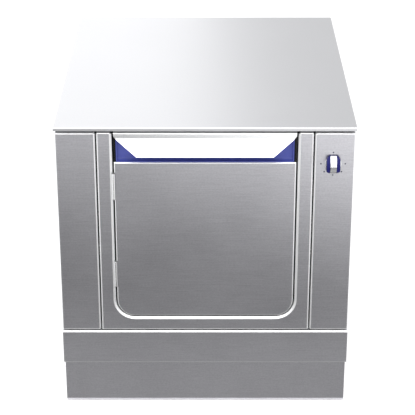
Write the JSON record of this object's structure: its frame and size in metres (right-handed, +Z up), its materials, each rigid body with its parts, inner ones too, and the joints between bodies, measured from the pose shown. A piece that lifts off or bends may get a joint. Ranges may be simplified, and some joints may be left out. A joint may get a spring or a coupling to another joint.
{
  "type": "trash compactor",
  "caption": "Front-loading stainless trash compactor cabinet with a side-hinged door, belt-driven screw ram, lift-out bin, selector knob and worktop.",
  "frame": {"origin": "on the floor, under the middle of the overall box from the grip's front edge to the cable gland's end", "axes": "+X to the right as seen from the front, +Y from the door to the back, +Z up"},
  "size_m": [0.806, 1, 0.85],
  "materials": {
    "stainless": "fine brushed, satin",
    "bright_stainless": "polished satin",
    "plated_steel": "zinc plated",
    "painted_steel": "semi-gloss paint",
    "bronze": "machined",
    "blue_plastic": "moulded, fine grain",
    "black_plastic": "moulded",
    "black_rubber": "matt"
  },
  "bodies": {
    "cabinet": {"worktop": "stainless", "crosshead": "plated_steel", "side_panel_left": "stainless", "side_panel_right": "stainless", "back_panel": "stainless", "cable_gland": "black_plastic", "front_panel_left": "stainless", "control_panel": "stainless", "door_surround": "stainless", "lower_front_panel": "stainless", "plinth_front": "stainless", "plinth_left": "stainless", "plinth_right": "stainless", "base_frame": "plated_steel", "foot_front_left": "plated_steel", "foot_front_right": "plated_steel", "foot_rear_left": "plated_steel", "foot_rear_right": "plated_steel", "chamber_floor": "stainless", "chamber_wall_left": "stainless", "chamber_wall_right": "stainless", "chamber_back": "stainless", "chamber_front_frame": "stainless", "catch_magnet": "black_plastic", "interlock_switch": "black_plastic", "hinge_upper_frame_leaf": "bright_stainless", "hinge_upper_pin": "plated_steel", "hinge_lower_frame_leaf": "bright_stainless", "hinge_lower_pin": "plated_steel", "bearing_lower_left": "painted_steel", "bearing_upper_left": "painted_steel", "bearing_lower_right": "painted_steel", "bearing_upper_right": "painted_steel", "motor": "painted_steel", "drive_belt": "black_rubber", "knob_bezel": "bright_stainless", "selector_switch": "black_plastic", "control_box": "painted_steel", "bin": "stainless", "bin_handle": "bright_stainless"},
    "door": {"door_skin": "stainless", "door_liner": "stainless", "door_gasket": "black_rubber", "handle_grip": "bright_stainless", "handle_recess": "blue_plastic", "hinge_upper_door_leaf": "bright_stainless", "hinge_lower_door_leaf": "bright_stainless"},
    "ram": {"ram_plate": "stainless", "ram_wrapper": "stainless", "ram_beam": "painted_steel", "ram_nut_left": "bronze", "ram_nut_right": "bronze"},
    "left_screw": {"screw_left": "plated_steel", "screw_pulley_left": "plated_steel"},
    "right_screw": {"screw_right": "plated_steel", "screw_pulley_right": "plated_steel"},
    "motor_rotor": {"motor_pulley": "plated_steel"},
    "interlock_pin": {"interlock_plunger": "bright_stainless"},
    "selector": {"selector_knob": "blue_plastic", "knob_insert": "bright_stainless"}
  },
  "joints": [
    {"name": "door_hinge", "type": "hinge", "parent": "cabinet", "child": "door", "pos_m": [-0.2455, -0.462, 0.546], "axis": [0, 0, -1], "range_deg": [0, 110]},
    {"name": "ram_slide", "type": "slide", "parent": "cabinet", "child": "ram", "axis": [0, 0, 1], "range_m": [-0.205, 0]},
    {"name": "screw_left_turn", "type": "hinge", "parent": "cabinet", "child": "left_screw", "pos_m": [-0.31825, -0.072, 0.5], "axis": [0, 0, 1], "range_deg": [-3700, 10]},
    {"name": "screw_right_turn", "type": "hinge", "parent": "cabinet", "child": "right_screw", "pos_m": [0.31825, -0.072, 0.5], "axis": [0, 0, 1], "range_deg": [-3700, 10]},
    {"name": "motor_turn", "type": "hinge", "parent": "cabinet", "child": "motor_rotor", "pos_m": [0, 0.36475, 0.235], "axis": [0, 0, 1], "range_deg": [-6283, 10]},
    {"name": "interlock_travel", "type": "slide", "parent": "cabinet", "child": "interlock_pin", "axis": [0, -1, 0], "range_m": [0, 0.004]},
    {"name": "selector_turn", "type": "hinge", "parent": "cabinet", "child": "selector", "pos_m": [0.341, -0.462, 0.7445], "axis": [0, 1, 0], "range_deg": [0, 270]}
  ],
  "couplings": [
    {"joint": "screw_left_turn", "follows": "ram_slide", "rad_per_m": 314.16},
    {"joint": "screw_right_turn", "follows": "ram_slide", "rad_per_m": 314.16},
    {"joint": "motor_turn", "follows": "ram_slide", "rad_per_m": 534.07},
    {"joint": "interlock_travel", "follows": "door_hinge", "m_per_rad": 0.00208}
  ]
}
